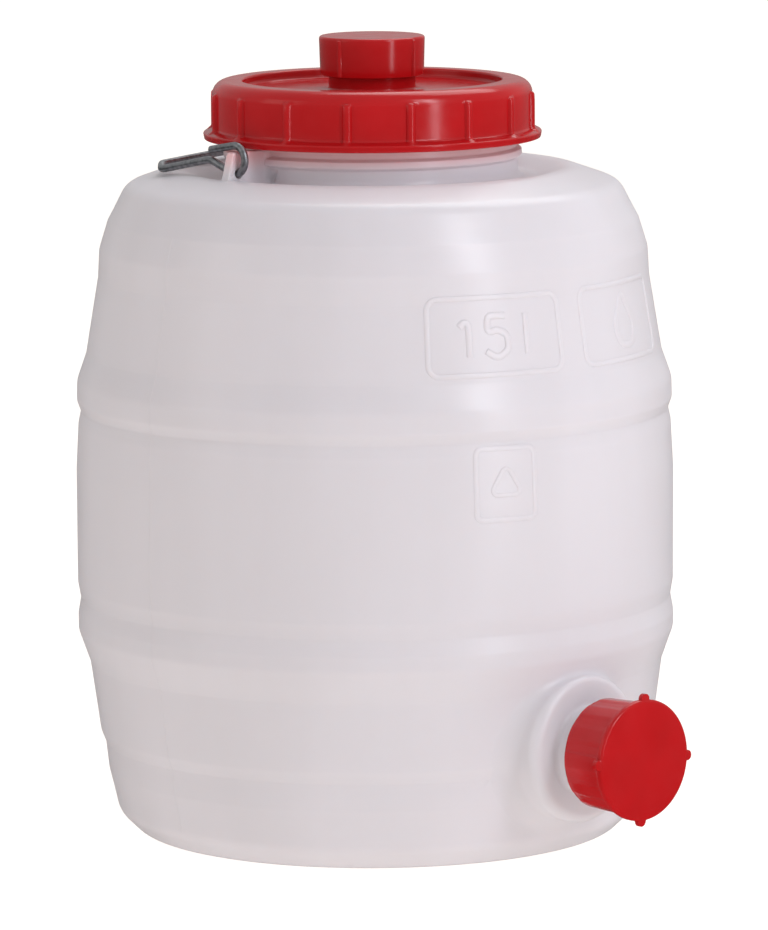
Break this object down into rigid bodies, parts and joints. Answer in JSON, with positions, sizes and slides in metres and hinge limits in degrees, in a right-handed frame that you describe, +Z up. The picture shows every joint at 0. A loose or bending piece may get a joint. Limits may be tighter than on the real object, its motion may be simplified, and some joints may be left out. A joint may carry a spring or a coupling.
{
  "type": "fermenting barrel",
  "caption": "Milky plastic barrel for fermenting and drinks, with hoop bands, a ribbed screw lid with a capped spigot, a capped low outlet and a wire carrying bail.",
  "frame": {"origin": "centre of the foot ring's plane, on the barrel's axis", "axes": "+Z up along the barrel's axis, -Y out of the low outlet, +X and -X towards the two bail fins; the bail lies down towards +Y"},
  "size_m": [0.276, 0.315, 0.367],
  "materials": {
    "natural_hdpe": "satin, milky and slightly translucent",
    "red_plastic": "moulded gloss",
    "soft_seal": "soft matt foam",
    "zinc_wire": "zinc plated round wire"
  },
  "bodies": {
    "barrel": {"barrel_foot": "natural_hdpe", "barrel_lower_wall": "natural_hdpe", "barrel_middle_wall": "natural_hdpe", "barrel_upper_wall": "natural_hdpe", "barrel_shoulder": "natural_hdpe", "barrel_neck": "natural_hdpe", "barrel_outlet": "natural_hdpe", "bail_fin_left": "natural_hdpe", "bail_fin_right": "natural_hdpe"},
    "lid_seal": {"lid_seal": "soft_seal"},
    "lid": {"lid": "red_plastic"},
    "lid_cap_seal": {"lid_cap_seal": "soft_seal"},
    "lid_cap": {"lid_cap": "red_plastic"},
    "outlet_cap_seal": {"outlet_cap_seal": "soft_seal"},
    "outlet_cap": {"outlet_cap": "red_plastic"},
    "bail": {"bail": "zinc_wire"}
  },
  "joints": [
    {"name": "lid_rise", "type": "slide", "parent": "barrel", "child": "lid_seal", "axis": [0, 0, 1], "range_m": [0, 0.01501]},
    {"name": "lid_turn", "type": "hinge", "parent": "lid_seal", "child": "lid", "pos_m": [0, 0, 0.334], "axis": [0, 0, 1], "range_deg": [0, 900]},
    {"name": "lid_cap_rise", "type": "slide", "parent": "lid", "child": "lid_cap_seal", "axis": [0, 0, 1], "range_m": [0, 0.00901]},
    {"name": "lid_cap_turn", "type": "hinge", "parent": "lid_cap_seal", "child": "lid_cap", "pos_m": [0, 0, 0.358], "axis": [0, 0, 1], "range_deg": [0, 810]},
    {"name": "outlet_cap_rise", "type": "slide", "parent": "barrel", "child": "outlet_cap_seal", "axis": [0, -1, 0], "range_m": [0, 0.00901]},
    {"name": "outlet_cap_turn", "type": "hinge", "parent": "outlet_cap_seal", "child": "outlet_cap", "pos_m": [0, -0.164, 0.0528], "axis": [0, -1, 0], "range_deg": [0, 810]},
    {"name": "bail_swing", "type": "hinge", "parent": "barrel", "child": "bail", "pos_m": [0, 0, 0.3157], "axis": [1, 0, 0], "range_deg": [0, 188]}
  ],
  "couplings": [
    {"joint": "lid_rise", "follows": "lid_turn", "m_per_rad": 0.00095493},
    {"joint": "lid_cap_rise", "follows": "lid_cap_turn", "m_per_rad": 0.00063662},
    {"joint": "outlet_cap_rise", "follows": "outlet_cap_turn", "m_per_rad": 0.00063662}
  ]
}
